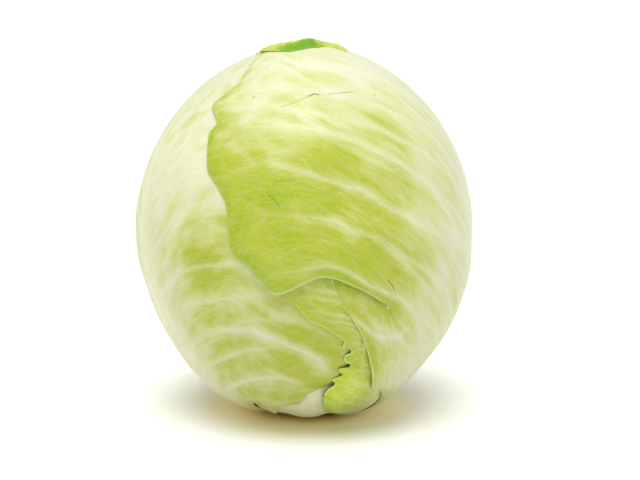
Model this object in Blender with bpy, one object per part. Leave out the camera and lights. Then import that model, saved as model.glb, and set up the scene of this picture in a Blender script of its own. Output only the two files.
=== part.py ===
"""A head of white cabbage, standing on its cut stalk.

The head is a solid heart of tightly packed inner leaves, a cut stalk under it and seven wrapper
leaves around it. Each wrapper is one thin closed shell that starts at the stalk and wraps up
around the head, and a leaf that lies over another one steps up over it.

Places on the head are directions from the head's centre, in degrees: an azimuth, 0 at the front
(-Y) and growing towards +X, and a latitude, -90 at the stalk and 90 at the crown.
"""

import math

import bmesh
import bpy
import numpy as np

# Driving dimensions, in metres.
HEAD_WIDTH = 0.160
EQUATOR_HEIGHT = 0.0875
CROWN_RISE = 0.0874
BELLY_DEPTH = 0.0933
WRAP_DEPTH = 0.0038
BASE_ROOM = 0.0020
LUMPS = ((80, 38, 0.0018), (-86, 2, 0.0026), (80, -48, -0.0020))
STALK_RADIUS = 0.0150
STALK_BEVEL = 0.0012
BLADE = 0.0010
GAP = 0.0009
STALK_GAP = 0.0004
FLOOR_CLEARANCE = 0.0003
FLOOR_SOFTNESS = 0.0008

# How a leaf steps over the one beneath it, and how thick its rib is at the stalk and at the tip.
STEP_WIDTH = 0.027
RIB_HEIGHT = 0.0024
RIB_TIP_HEIGHT = 0.0003
RIB_WIDTH = 0.0090
RIB_TIP_WIDTH = 0.0035
DRAPE_WIDTH = 0.0180

# Mesh density.
LEAF_ROWS = 18
OUTLINE_POINTS = 40
HEART_SEGMENTS = 32
HEART_RINGS = 22
STALK_SEGMENTS = 40

# The long tear of the right wrapper leaf: how far along the leaf it runs, and how wide it gapes.
TEAR_ALONG = 7 / 18
TEAR_GAPE = 0.0022
LIP_STEP = 1e-4

# How far along a leaf its tip starts to curl up.
LIFT_FROM = 0.86

PALE_GREEN = (0.72, 0.80, 0.46)
LEAF_GREEN = (0.58, 0.70, 0.20)
CREAM = (0.86, 0.87, 0.72)

CENTRE = np.array([0.0, 0.0, EQUATOR_HEIGHT])


def direction(azimuth, latitude):
    """The unit vector from the head's centre towards a place on the head."""
    a, b = math.radians(azimuth), math.radians(latitude)
    return np.array([math.sin(a) * math.cos(b), -math.cos(a) * math.cos(b), math.sin(b)])


def unit(vectors):
    return vectors / np.linalg.norm(vectors, axis=-1, keepdims=True)


class Path:
    """A smooth line over the head through a few places, read by its share of length."""

    def __init__(self, *places, steps=12):
        knots = np.array([direction(*place) for place in places])
        ends = np.vstack([2 * knots[0] - knots[1], knots, 2 * knots[-1] - knots[-2]])
        fine = []
        for i in range(len(knots) - 1):
            a, b, c, d = ends[i : i + 4]
            for t in np.linspace(0, 1, steps, endpoint=False):
                fine.append(
                    0.5
                    * (
                        2 * b
                        + (c - a) * t
                        + (2 * a - 5 * b + 4 * c - d) * t**2
                        + (3 * b - a - 3 * c + d) * t**3
                    )
                )
        fine.append(knots[-1])
        self.points = unit(np.array(fine))
        lengths = np.linalg.norm(np.diff(self.points, axis=0), axis=1)
        self.share = np.concatenate([[0], np.cumsum(lengths)]) / lengths.sum()

    def at(self, share):
        columns = [np.interp(share, self.share, self.points[:, k]) for k in range(3)]
        return unit(np.stack(columns, axis=-1))


class Leaf:
    """A wrapper leaf: guide lines from stalk to tip, in order across the leaf, with the rib at 0.

    columns is how many cells wide its mesh is.
    across is where each guide stands, from -1 at one margin to 1 at the other. Where the leaf is
    torn, torn_margin is the margin at -1 below the tear and guides[0] is the margin above it.
    lift is how far the tip's margin curls up off what it lies on.
    """

    def __init__(
        self, name, colour, columns, across, guides, torn_margin=None, tear_end=None, lift=0.0
    ):
        self.name = name
        self.colour = colour
        self.columns = columns
        self.lift = lift
        self.across = np.array(across)
        self.guides = guides
        self.torn_margin = torn_margin
        self.tear_end = tear_end
        self.outline = self.outline_places()

    def guide_places(self, u_index, along):
        """Where one guide is at these shares of the leaf's length."""
        guide = self.guides[u_index]
        if self.torn_margin is None or u_index > 0:
            return guide.at(along)
        above = guide.at((along - TEAR_ALONG) / (1 - TEAR_ALONG))
        below = self.torn_margin.at(along / TEAR_ALONG)
        return np.where((along >= TEAR_ALONG)[..., None], above, below)

    def places(self, across, along):
        """Directions of the points at these shares across and along the leaf."""
        knots = [self.guide_places(i, along) for i in range(len(self.guides))]
        found = np.zeros(along.shape + (3,))
        for i in range(len(knots) - 1):
            low, high = self.across[i], self.across[i + 1]
            last = i == len(knots) - 2
            inside = (across >= low) & ((across <= high) if last else (across < high))
            t = ((across - low) / (high - low))[..., None]
            found = np.where(inside[..., None], bow(knots[i], knots[i + 1], t), found)
        return unit(found)

    def outline_places(self):
        """The leaf's margin as a closed loop of directions."""
        share = np.linspace(0, 1, OUTLINE_POINTS)
        ends = np.ones(OUTLINE_POINTS)
        return np.vstack(
            [
                self.places(-ends, share),
                self.places(2 * share - 1, ends),
                self.places(ends, share[::-1]),
                self.places(1 - 2 * share, 0 * ends),
            ]
        )

    def rib_index(self):
        return int(np.argmin(np.abs(self.across)))


def bow(start, end, t):
    """A point on the great circle from start to end."""
    angle = np.arccos(np.clip((start * end).sum(-1, keepdims=True), -1, 1))
    angle = np.maximum(angle, 1e-6)
    return (np.sin((1 - t) * angle) * start + np.sin(t * angle) * end) / np.sin(angle)


def smooth_step(x):
    x = np.clip(x, 0, 1)
    return x * x * (3 - 2 * x)


def head_radius(places):
    """How far the head's outer surface is from its centre: an egg that is cut flat under it."""
    rise = np.where(places[..., 2] > 0, CROWN_RISE, BELLY_DEPTH)
    half_width = HEAD_WIDTH / 2
    flat = (places[..., 0] ** 2 + places[..., 1] ** 2) / half_width**2
    egg = 1 / np.sqrt(flat + places[..., 2] ** 2 / rise**2)
    floor = EQUATOR_HEIGHT / np.maximum(-places[..., 2], 1e-3)
    hardness = 30.0
    radius = (egg**-hardness + floor**-hardness) ** (-1 / hardness)
    for azimuth, latitude, height in LUMPS:
        radius = radius + height * np.clip(places @ direction(azimuth, latitude), 0, 1) ** 3
    return radius


def heart_radius(places):
    """The heart lies under the wrappers, and leaves more room for their thick bases."""
    latitude = np.degrees(np.arcsin(np.clip(places[..., 2], -1, 1)))
    base = smooth_step((-40 - latitude) / 32)
    return head_radius(places) - WRAP_DEPTH - BASE_ROOM * base


def flattened(places, centre):
    """Stereographic plane coordinates about a direction, in which a leaf's outline is a polygon."""
    side = unit(np.cross(centre, [0.3, 0.5, 0.81]))
    up = np.cross(centre, side)
    scale = 1 / (1 + places @ centre + 1e-9)
    return np.stack([(places @ side) * scale, (places @ up) * scale], axis=-1)


def inside_outline(places, outline):
    centre = unit(outline.mean(axis=0))
    p = flattened(places, centre)
    loop = flattened(outline, centre)
    a, b = loop, np.roll(loop, -1, axis=0)
    x, y = p[:, None, 0], p[:, None, 1]
    crosses = (a[:, 1] > y) != (b[:, 1] > y)
    rise = np.where(b[:, 1] == a[:, 1], 1e-12, b[:, 1] - a[:, 1])
    hit = crosses & (x < (b[:, 0] - a[:, 0]) * (y - a[:, 1]) / rise + a[:, 0])
    return hit.sum(axis=1) % 2 == 1


def distance_to_line(places, line):
    """The least distance from each place to a line over the head, in metres."""
    gaps = np.linalg.norm(places[:, None, :] - line[None, :, :], axis=2)
    return gaps.min(axis=1) * HEAD_WIDTH / 2


def rib_height(leaf, places, spread=0.0):
    """How far the rib stands out of the blade; spread widens it, as it shows through a leaf."""
    rib = leaf.guides[leaf.rib_index()]
    share = np.linspace(0, 1, OUTLINE_POINTS * 2)
    line = rib.at(share)
    gaps = np.linalg.norm(places[:, None, :] - line[None, :, :], axis=2) * HEAD_WIDTH / 2
    fade = (1 - share) ** 2
    height = RIB_TIP_HEIGHT + (RIB_HEIGHT - RIB_TIP_HEIGHT) * fade
    width = np.maximum(RIB_TIP_WIDTH + (RIB_WIDTH - RIB_TIP_WIDTH) * fade, spread)
    return (height * np.exp(-((gaps / width) ** 2))).max(axis=1)


def cover(leaf, places):
    """1 where the leaf lies over a place, falling to 0 a short way outside its margin."""
    outside = np.where(
        inside_outline(places, leaf.outline), 0, distance_to_line(places, leaf.outline)
    )
    clear = 0.15 * STEP_WIDTH
    return 1 - smooth_step((outside - clear) / (STEP_WIDTH - clear))


def underside_radius(places, beneath):
    """The inner surface of a leaf that lies over the heart and over the leaves beneath it."""
    radius = heart_radius(places) + GAP
    for leaf in beneath:
        thick = BLADE + rib_height(leaf, places, spread=DRAPE_WIDTH)
        radius = radius + (thick + GAP) * cover(leaf, places)
    return radius


def above_floor(points):
    """Presses what would reach below the surface flat against it."""
    z = points[:, 2] - FLOOR_CLEARANCE
    points[:, 2] = FLOOR_CLEARANCE + FLOOR_SOFTNESS * np.logaddexp(0, z / FLOOR_SOFTNESS)
    return points


def flat_slab(leaf):
    """The leaf spread flat: x across, y along, z 0 on the underside and 1 on the outside."""
    bm = bmesh.new()
    bmesh.ops.create_grid(bm, x_segments=leaf.columns, y_segments=LEAF_ROWS, size=1)
    if leaf.torn_margin is not None:
        tear_flat_slab(bm, leaf)
    under = bm.faces[:]
    raised = bmesh.ops.extrude_face_region(bm, geom=under, use_keep_orig=True)
    new_verts = [item for item in raised["geom"] if isinstance(item, bmesh.types.BMVert)]
    bmesh.ops.translate(bm, verts=new_verts, vec=(0, 0, 1))
    bmesh.ops.recalc_face_normals(bm, faces=bm.faces[:])
    return bm


def tear_flat_slab(bm, leaf):
    """Opens the tear along a row, from the margin at -1 to the tear's end."""
    row = 2 * TEAR_ALONG - 1
    torn = [
        edge
        for edge in bm.edges
        if all(abs(v.co.y - row) < 1e-4 and v.co.x < leaf.tear_end + 1e-4 for v in edge.verts)
    ]
    bmesh.ops.split_edges(bm, edges=torn)
    for vert in bm.verts:
        on_row = abs(vert.co.y - row) < 1e-4 and vert.co.x < leaf.tear_end - 1e-4
        if on_row and np.mean([f.calc_center_median().y for f in vert.link_faces]) < row:
            vert.co.y -= LIP_STEP


def gape(leaf, across, along, places):
    """Draws the lower lip of the tear down, by most at the margin."""
    near = np.clip((TEAR_ALONG - along) / TEAR_ALONG, 0, 1)
    below = (along < TEAR_ALONG) & (across < leaf.tear_end)
    span = (leaf.tear_end - across) / (leaf.tear_end + 1)
    shift = np.where(below, TEAR_GAPE * np.sqrt(np.clip(span, 0, 1)) * (1 - near) ** 4, 0)
    return unit(places - shift[:, None] / (HEAD_WIDTH / 2) * np.array([0, 0, 1.0]))


def wrap(bm, leaf, beneath):
    """Bends a flat slab around the head."""
    slab = np.array([vert.co for vert in bm.verts])
    across, along = slab[:, 0], (slab[:, 1] + 1) / 2
    places = leaf.places(across, along)
    if leaf.torn_margin is not None:
        places = gape(leaf, across, along, places)
    under = underside_radius(places, beneath)
    curl = smooth_step((along - LIFT_FROM) / (1 - LIFT_FROM)) * (1 - across**2)
    under = under + leaf.lift * curl
    thick = BLADE + rib_height(leaf, places)
    points = CENTRE + places * (under + thick * (slab[:, 2] > 0.5))[:, None]
    for vert, point in zip(bm.verts, above_floor(points)):
        vert.co = point
    bmesh.ops.recalc_face_normals(bm, faces=bm.faces[:])


def material(name, colour, roughness=0.45):
    made = bpy.data.materials.new(name)
    made.use_nodes = True
    shader = made.node_tree.nodes["Principled BSDF"]
    shader.inputs["Base Color"].default_value = (*colour, 1)
    shader.inputs["Roughness"].default_value = roughness
    shader.inputs["Metallic"].default_value = 0
    return made


def add_object(name, bm, colour, parent):
    mesh = bpy.data.meshes.new(name)
    bm.to_mesh(mesh)
    bm.free()
    mesh.shade_smooth()
    mesh.set_sharp_from_angle(angle=math.radians(50))
    mesh.materials.append(material(name, colour))
    made = bpy.data.objects.new(name, mesh)
    made.parent = parent
    bpy.context.scene.collection.objects.link(made)
    return made


def heart(parent):
    """The tight ball of inner leaves."""
    bm = bmesh.new()
    bmesh.ops.create_uvsphere(
        bm, u_segments=HEART_SEGMENTS, v_segments=HEART_RINGS, radius=1
    )
    places = unit(np.array([vert.co for vert in bm.verts]))
    points = CENTRE + places * heart_radius(places)[:, None]
    for vert, point in zip(bm.verts, points):
        vert.co = point
    add_object("heart", bm, PALE_GREEN, parent)


def stalk(parent):
    """The short butt of the stalk, cut flat: the face that the head stands on."""
    height = WRAP_DEPTH + BASE_ROOM - STALK_GAP
    bm = bmesh.new()
    made = bmesh.ops.create_cone(
        bm,
        cap_ends=True,
        segments=STALK_SEGMENTS,
        radius1=STALK_RADIUS,
        radius2=STALK_RADIUS,
        depth=height,
    )
    bmesh.ops.translate(bm, verts=made["verts"], vec=(0, 0, height / 2))
    foot = [e for e in bm.edges if all(v.co.z < 1e-5 for v in e.verts)]
    bmesh.ops.bevel(
        bm,
        geom=foot,
        offset=STALK_BEVEL,
        segments=2,
        profile=0.5,
        affect="EDGES",
        material=-1,
    )
    add_object("stalk_butt", bm, CREAM, parent)


def wrapper_leaves():
    """The seven wrapper leaves, innermost first."""
    return [
        Leaf(
            "front_inner_leaf",
            PALE_GREEN,
            16,
            (-1, 0, 1),
            [
                Path((-16, -78), (-38, -62), (-58, -40), (-68, -10), (-66, 20), (-55, 48), (-40, 64)),
                Path((2, -78), (2, -50), (0, -20), (-2, 15), (-5, 45), (-8, 70)),
                Path((20, -78), (42, -62), (60, -40), (70, -10), (66, 20), (52, 48), (30, 64)),
            ],
        ),
        Leaf(
            "left_wrapper_leaf",
            PALE_GREEN,
            22,
            (-1, 0, 0.5, 1),
            [
                Path((-78, -78), (-100, -62), (-125, -45), (-145, -25), (-155, -5), (-158, 15),
                     (-156, 35), (-150, 55), (-140, 70)),
                Path((-62, -78), (-58, -55), (-60, -35), (-63, -16), (-65, 4), (-68, 23),
                     (-73, 41), (-82, 60), (-100, 78)),
                Path((-52, -78), (-42, -64), (-32, -50), (-25, -34), (-23, -16), (-24, 4),
                     (-28, 24), (-36, 44), (-50, 62), (-70, 79)),
                Path((-44, -78), (-36, -67), (-27, -58), (-13, -56), (-1, -49), (7, -43),
                     (14, -34), (18, -24), (19, -10), (17, 8), (10, 26), (-2, 44), (-18, 60),
                     (-35, 76)),
            ],
        ),
        Leaf(
            "lower_front_leaf",
            LEAF_GREEN,
            12,
            (-1, 0, 1),
            [
                Path((38, -77), (28, -71), (16, -63), (10, -56), (9, -49), (13, -41), (14, -33),
                     (12, -25), (1, -19), (-7, -10), (-6, -4), (4, 2)),
                Path((48, -78), (47, -60), (43, -42), (36, -25), (27, -10), (20, 3)),
                Path((58, -78), (66, -63), (72, -46), (72, -30), (66, -14), (54, -2), (38, 3)),
            ],
        ),
        Leaf(
            "right_wrapper_leaf",
            LEAF_GREEN,
            24,
            (-1, -0.5, 0, 0.5, 1),
            [
                Path((-9, -9), (-15, -4), (-22, 0), (-24, 7), (-28, 18), (-35, 26), (-39, 37),
                     (-42, 45), (-47, 49), (-44, 57), (-52, 68), (-75, 76)),
                Path((62, -77), (48, -60), (40, -42), (33, -28), (28, -15.5), (22, 4), (18, 22),
                     (12, 42), (0, 62), (-25, 76)),
                Path((84, -78), (82, -58), (79, -40), (77, -22), (76, -4), (77, 15), (82, 35),
                     (92, 56), (112, 76)),
                Path((94, -78), (102, -60), (110, -40), (114, -20), (116, 0), (118, 20),
                     (120, 40), (124, 58), (132, 74)),
                Path((104, -78), (122, -62), (140, -42), (152, -20), (158, 2), (160, 24),
                     (158, 44), (150, 60), (144, 70)),
            ],
            torn_margin=Path((54, -77), (47, -64), (40, -52), (32, -47), (28, -43), (25, -37),
                             (19, -25), (13, -13)),
            tear_end=-0.5,
        ),
        Leaf(
            "crown_leaf",
            LEAF_GREEN,
            14,
            (-1, -0.5, 0, 0.5, 1),
            [
                Path((170, -78), (151, -60), (139, -35), (135, -10), (135, 15), (137, 38),
                     (136, 55), (126, 69), (98, 77), (69, 75)),
                Path((180, -78), (170, -58), (163, -30), (160, -5), (160, 20), (160, 42),
                     (158, 62), (142, 78), (52, 83)),
                Path((190, -78), (189, -45), (188, -15), (187, 15), (186, 40), (184, 62),
                     (182, 80), (0, 82)),
                Path((200, -78), (208, -58), (214, -30), (217, -5), (217, 20), (217, 42),
                     (220, 62), (233, 77), (334, 76)),
                Path((210, -78), (229, -60), (241, -35), (246, -10), (246, 15), (245, 38),
                     (243, 55), (239, 68), (262, 77), (298, 75)),
            ],
            lift=0.0024,
        ),
        Leaf(
            "back_left_leaf",
            LEAF_GREEN,
            10,
            (-1, 0, 1),
            [
                Path((-146, -78), (-160, -62), (-172, -42), (-178, -20), (-178, 2), (-172, 22),
                     (-160, 40)),
                Path((-128, -78), (-130, -50), (-134, -25), (-138, 0), (-141, 24), (-142, 46)),
                Path((-110, -78), (-106, -62), (-105, -42), (-105, -22), (-108, -2), (-114, 18),
                     (-124, 38)),
            ],
        ),
        Leaf(
            "back_right_leaf",
            LEAF_GREEN,
            10,
            (-1, 0, 1),
            [
                Path((120, -78), (113, -62), (111, -42), (111, -22), (113, -2), (118, 14),
                     (127, 25)),
                Path((138, -78), (140, -52), (141, -28), (141, -5), (142, 15), (143, 31)),
                Path((156, -78), (170, -62), (182, -42), (188, -22), (186, -4), (176, 12),
                     (160, 25)),
            ],
        ),
    ]


def main():
    for old in list(bpy.data.objects):
        bpy.data.objects.remove(old)
    root = bpy.data.objects.new("cabbage_head", None)
    bpy.context.scene.collection.objects.link(root)
    heart(root)
    stalk(root)
    beneath = []
    for leaf in wrapper_leaves():
        bm = flat_slab(leaf)
        wrap(bm, leaf, beneath)
        add_object(leaf.name, bm, leaf.colour, root)
        beneath.append(leaf)


main()
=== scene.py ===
"""A head of white cabbage on its cut stalk, dressed leaf by leaf.

Places on the head are directions from its centre, in degrees: an azimuth, 0 at the front (-Y) and
growing towards +X, and a latitude, -90 at the stalk and 90 at the crown. Sizes are in metres.
"""

import math

import bmesh
import bpy
import numpy as np
from mathutils.kdtree import KDTree
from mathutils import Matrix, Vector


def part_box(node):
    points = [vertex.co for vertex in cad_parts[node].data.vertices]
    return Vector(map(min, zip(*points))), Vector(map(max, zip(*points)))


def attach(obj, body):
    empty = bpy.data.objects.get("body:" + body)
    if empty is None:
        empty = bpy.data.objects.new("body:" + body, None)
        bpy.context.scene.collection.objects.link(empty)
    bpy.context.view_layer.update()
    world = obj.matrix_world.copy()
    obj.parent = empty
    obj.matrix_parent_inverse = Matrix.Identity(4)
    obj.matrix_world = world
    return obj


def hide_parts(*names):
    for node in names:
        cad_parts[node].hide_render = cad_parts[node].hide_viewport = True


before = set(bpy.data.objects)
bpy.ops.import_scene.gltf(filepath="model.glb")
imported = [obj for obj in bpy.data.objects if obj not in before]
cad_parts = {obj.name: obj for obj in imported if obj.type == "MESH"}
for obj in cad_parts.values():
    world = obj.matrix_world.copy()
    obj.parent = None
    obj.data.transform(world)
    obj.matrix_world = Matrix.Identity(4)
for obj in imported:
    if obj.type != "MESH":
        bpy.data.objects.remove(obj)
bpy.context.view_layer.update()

bl_info = {
    "name": "Cabbage Head",
    "version": (1, 0, 0),
    "blender": (4, 5, 0),
    "location": "3D View > Sidebar > Cabbage",
    "description": "A head of white cabbage in overlapping, veined wrapper leaves",
    "category": "Add Mesh",
}

# The head under the leaves: an egg, a little lopsided, that is cut flat where it stands.
EQUATOR_HEIGHT = 0.0875
HALF_WIDTH = 0.080
CROWN_RISE = 0.0874
BELLY_DEPTH = 0.0933
BASE_ROOM = 0.0020
LUMPS = (
    (80, 38, 0.0002, 3),
    (-86, 2, 0.0016, 3),
    (80, -48, -0.0020, 3),
    (-72, -28, -0.0014, 6),
    (10, -60, 0.0024, 10),
)
CENTRE = np.array([0.0, 0.0, EQUATOR_HEIGHT])

# How one leaf lies on the next.
STEP_WIDTH = 0.024
DRAPE_WIDTH = 0.0180
SNUG_WIDTH = 0.0045
FLOOR_CLEARANCE = 0.0003
FLOOR_SOFTNESS = 0.0008

# The long tear of the right wrapper leaf: where it runs along the leaf and where it ends.
TEAR_ALONG = 11 / 30
TEAR_END = -0.5
LIP_STEP = 1e-5


def direction(azimuth, latitude):
    """The unit vector from the head's centre towards a place on the head."""
    a, b = math.radians(azimuth), math.radians(latitude)
    return np.array([math.sin(a) * math.cos(b), -math.cos(a) * math.cos(b), math.sin(b)])


def unit(vectors):
    return vectors / np.linalg.norm(vectors, axis=-1, keepdims=True)


def smooth_step(x):
    x = np.clip(x, 0, 1)
    return x * x * (3 - 2 * x)


def bow(start, end, t):
    """A point on the great circle from start to end."""
    angle = np.arccos(np.clip((start * end).sum(-1, keepdims=True), -1, 1))
    angle = np.maximum(angle, 1e-6)
    return (np.sin((1 - t) * angle) * start + np.sin(t * angle) * end) / np.sin(angle)


def ripple(x, y, seed):
    """Smooth irregular waves about one unit long, from -1 to 1."""
    random = np.random.default_rng(seed)
    total = np.zeros(np.shape(x))
    for _ in range(9):
        heading = random.uniform(0, 2 * math.pi)
        pace = 2 * math.pi * random.uniform(0.55, 1.35)
        total += np.sin(
            pace * (x * math.cos(heading) + y * math.sin(heading)) + random.uniform(0, 6.28)
        )
    return total / 4.2


def swell(places, length, seed):
    """Smooth irregular waves over the head, about this long in metres, from -1 to 1."""
    random = np.random.default_rng(seed)
    total = np.zeros(places.shape[:-1])
    for _ in range(12):
        heading = unit(random.normal(size=3))
        heading *= 2 * math.pi * random.uniform(0.6, 1.3) * HALF_WIDTH / length
        total += np.sin(places @ heading + random.uniform(0, 6.28))
    return total / 4.9


def spot(places, azimuth, latitude, spread):
    """1 at a place on the head, fading to 0 at about twice spread from it."""
    gap = 2 - 2 * np.clip(places @ direction(azimuth, latitude), -1, 1)
    return np.exp(-gap * (HALF_WIDTH / spread) ** 2)


class Path:
    """A smooth line over the head through a few places, read by its share of length."""

    def __init__(self, *places, steps=12):
        knots = np.array([direction(*place) for place in places])
        ends = np.vstack([2 * knots[0] - knots[1], knots, 2 * knots[-1] - knots[-2]])
        fine = []
        for i in range(len(knots) - 1):
            a, b, c, d = ends[i : i + 4]
            for t in np.linspace(0, 1, steps, endpoint=False):
                fine.append(
                    0.5
                    * (
                        2 * b
                        + (c - a) * t
                        + (2 * a - 5 * b + 4 * c - d) * t**2
                        + (3 * b - a - 3 * c + d) * t**3
                    )
                )
        fine.append(knots[-1])
        self.trace(np.array(fine))

    def trace(self, points):
        self.points = unit(points)
        lengths = np.linalg.norm(np.diff(self.points, axis=0), axis=1)
        self.length = lengths.sum() * HALF_WIDTH
        self.share = np.concatenate([[0], np.cumsum(lengths)]) / lengths.sum()
        return self

    def at(self, share):
        columns = [np.interp(share, self.share, self.points[:, k]) for k in range(3)]
        return unit(np.stack(columns, axis=-1))


def traced(points):
    return Path.__new__(Path).trace(np.asarray(points))


def head_radius(places):
    """How far the head's outer surface is from its centre."""
    rise = np.where(places[..., 2] > 0, CROWN_RISE, BELLY_DEPTH)
    flat = (places[..., 0] ** 2 + places[..., 1] ** 2) / HALF_WIDTH**2
    egg = 1 / np.sqrt(flat + places[..., 2] ** 2 / rise**2)
    floor = EQUATOR_HEIGHT / np.maximum(-places[..., 2], 1e-3)
    hardness = 30.0
    radius = (egg**-hardness + floor**-hardness) ** (-1 / hardness)
    for azimuth, latitude, height, power in LUMPS:
        facing = np.clip(places @ direction(azimuth, latitude), 0, 1)
        radius = radius + height * facing**power
    return radius


def heart_radius(places, sizes):
    """The heart lies under the wrappers, and leaves more room for their thick bases."""
    latitude = np.degrees(np.arcsin(np.clip(places[..., 2], -1, 1)))
    base = smooth_step((-40 - latitude) / 32)
    waves = sizes.waviness * (swell(places, 0.055, 3) + 0.5 * swell(places, 0.027, 4))
    waves = waves * smooth_step((latitude + 72) / 25)
    return head_radius(places) - sizes.wrap_depth - BASE_ROOM * base + waves


def flattened(places, centre):
    """Stereographic plane coordinates about a direction, in which a leaf's outline is a polygon."""
    side = unit(np.cross(centre, [0.3, 0.5, 0.81]))
    up = np.cross(centre, side)
    scale = 1 / (1 + places @ centre + 1e-9)
    return np.stack([(places @ side) * scale, (places @ up) * scale], axis=-1)


def inside_outline(places, outline):
    centre = unit(outline.mean(axis=0))
    p = flattened(places, centre)
    loop = flattened(outline, centre)
    inside = np.zeros(len(places), bool)
    for a, b in zip(loop, np.roll(loop, -1, axis=0)):
        crosses = (a[1] > p[:, 1]) != (b[1] > p[:, 1])
        rise = b[1] - a[1] if b[1] != a[1] else 1e-12
        inside ^= crosses & (p[:, 0] < (b[0] - a[0]) * (p[:, 1] - a[1]) / rise + a[0])
    return inside


def nearest(places, line):
    """The distance from each place to the nearest of a line's points."""
    tree = KDTree(len(line))
    for i, point in enumerate(line):
        tree.insert(point, i)
    tree.balance()
    return np.array([tree.find(place)[2] for place in places.tolist()]) * HALF_WIDTH


class Leaf:
    """A wrapper leaf: guide lines from stalk to tip, in order across the leaf, with the rib at 0.

    across is where each guide stands, from -1 at one margin to 1 at the other. Where the leaf is
    torn, torn_margin is the margin at -1 below the tear and guides[0] is the margin above it.
    rise and reach say how far side veins climb along the leaf on their way out, and how far out
    they stop climbing.
    """

    def __init__(self, name, across, guides, **traits):
        self.name = name
        self.across = np.array(across)
        self.guides = guides
        self.torn_margin = None
        self.lip = None
        self.tuck = None
        self.tip = None
        self.cells = (120, 150)
        self.front_share = 0.5
        self.rise, self.reach = 0.2, 0.6
        self.side_veins = []
        self.drawn_veins = []
        self.ridges = []
        self.painted_light_spots = []
        self.lifts = []
        self.crinkles = []
        self.splits = []
        self.green = 0.4
        self.crown_fade = (20, 40, 0.0)
        self.green_spots = []
        self.edge_spots = []
        self.margin_green = 0.25
        self.white_base = 1.0
        self.rim_spots = []
        self.ragged = 0.004
        self.rolls = []
        self.thin_spots = []
        self.crack_shade_marks = []
        self.tone = 1.0
        self.vein_tint = 1.0
        self.seed = 1
        self.__dict__.update(traits)
        self.outline = self.outline_places(60)

    def rib(self):
        return self.guides[int(np.argmin(np.abs(self.across)))]

    def guide_places(self, i, along):
        """Where one guide is at these shares of the leaf's length."""
        if self.torn_margin is None or i > 0:
            return self.guides[i].at(along)
        above = self.guides[0].at((along - TEAR_ALONG) / (1 - TEAR_ALONG))
        below = self.torn_margin.at(along / TEAR_ALONG)
        return np.where((along >= TEAR_ALONG)[..., None], above, below)

    def flat_places(self, across, along):
        """Directions of the points at these shares, before the tear's lips are shaped."""
        knots = [self.guide_places(i, along) for i in range(len(self.guides))]
        found = np.zeros(along.shape + (3,))
        for i in range(len(knots) - 1):
            low, high = self.across[i], self.across[i + 1]
            last = i == len(knots) - 2
            inside = (across >= low) & ((across <= high) if last else (across < high))
            t = ((across - low) / (high - low))[..., None]
            found = np.where(inside[..., None], bow(knots[i], knots[i + 1], t), found)
        return unit(found)

    def places(self, across, along):
        """Directions of the points at these shares across and along the leaf."""
        found = self.flat_places(across, along)
        if self.tip is not None:
            row = np.ones(along.shape)
            pull = self.tip.at((across + 1) / 2) - self.flat_places(across, row)
            found = found + pull * smooth_step((along - 0.84) / 0.16)[..., None]
        if self.lip is not None:
            share = np.clip((across + 1) / (TEAR_END + 1), 0, 1)
            for line, row, side, span in (
                (self.lip, TEAR_ALONG, along >= TEAR_ALONG, 0.26),
                (self.tuck, TEAR_ALONG - 1e-7, along < TEAR_ALONG, 0.12),
            ):
                straight = self.flat_places(np.minimum(across, TEAR_END), 0 * along + row)
                fade = smooth_step(1 - (across - TEAR_END) / 0.3) * side
                fade *= smooth_step(1 - np.abs(along - TEAR_ALONG) / span)
                found = found + (line.at(share) - straight) * fade[..., None]
        return unit(found)

    def outline_places(self, count):
        """The leaf's margin as a closed loop of directions."""
        share = np.linspace(0, 1, count)
        ends = np.ones(count)
        return np.vstack(
            [
                self.places(-ends, share),
                self.places(2 * share - 1, ends),
                self.places(ends, share[::-1]),
                self.places(1 - 2 * share, 0 * ends),
            ]
        )

    def climb(self, across):
        """How far along the leaf a side vein has climbed by the time it is this far out."""
        return self.rise * np.sin(np.minimum(np.abs(across) / self.reach, 1) * math.pi / 2)


def rib_height(leaf, places, sizes, spread=0.0):
    """How far the rib stands out of the blade; spread widens it, as it shows through a leaf."""
    share = np.linspace(0, 1, 120)
    line = leaf.rib().at(share)
    gaps = np.sqrt(np.maximum(2 - 2 * places @ line.T, 0)) * HALF_WIDTH
    fade = (1 - share) ** 2
    height = sizes.rib_tip_height + (sizes.rib_height - sizes.rib_tip_height) * fade
    width = np.maximum(sizes.rib_tip_width + (sizes.rib_width - sizes.rib_tip_width) * fade, spread)
    return (height * np.exp(-((gaps / width) ** 2))).max(axis=1)


def cover(leaf, places):
    """1 where the leaf lies over a place, falling to 0 outside its margin: slowly, then snugly."""
    inside = inside_outline(places, leaf.outline)
    outside = np.zeros(len(places))
    outside[~inside] = nearest(places[~inside], leaf.outline_places(200))
    clear = 0.06 * STEP_WIDTH
    bridged = 1 - smooth_step((outside - clear) / (STEP_WIDTH - clear))
    return bridged, 1 - smooth_step((outside - 0.0004) / SNUG_WIDTH)


def underside_radius(places, beneath, sizes, margin_gap):
    """The inner surface of a leaf that lies over the heart and over the leaves beneath it.

    It bridges the hollows beside the ribs beneath, but its margin settles into them, down to the
    outermost leaf that covers the place.
    """
    radius = heart_radius(places, sizes) + sizes.gap
    slack, loose = np.zeros(len(places)), np.zeros(len(places))
    for leaf in beneath:
        over, snug = cover(leaf, places)
        bridged = rib_height(leaf, places, sizes, spread=DRAPE_WIDTH)
        layer = sizes.blade + bridged + sizes.gap
        radius = radius + layer * over
        loose = loose * (1 - snug) + layer * np.maximum(over - snug, 0)
        slack = np.where(over > 0.5, (bridged - rib_height(leaf, places, sizes)) * over, slack)
    settle = np.maximum(slack + loose + sizes.gap - 0.6 * sizes.quilting, 0)
    return radius - 0.95 * settle * np.exp(-((margin_gap / 0.0028) ** 2))


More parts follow.
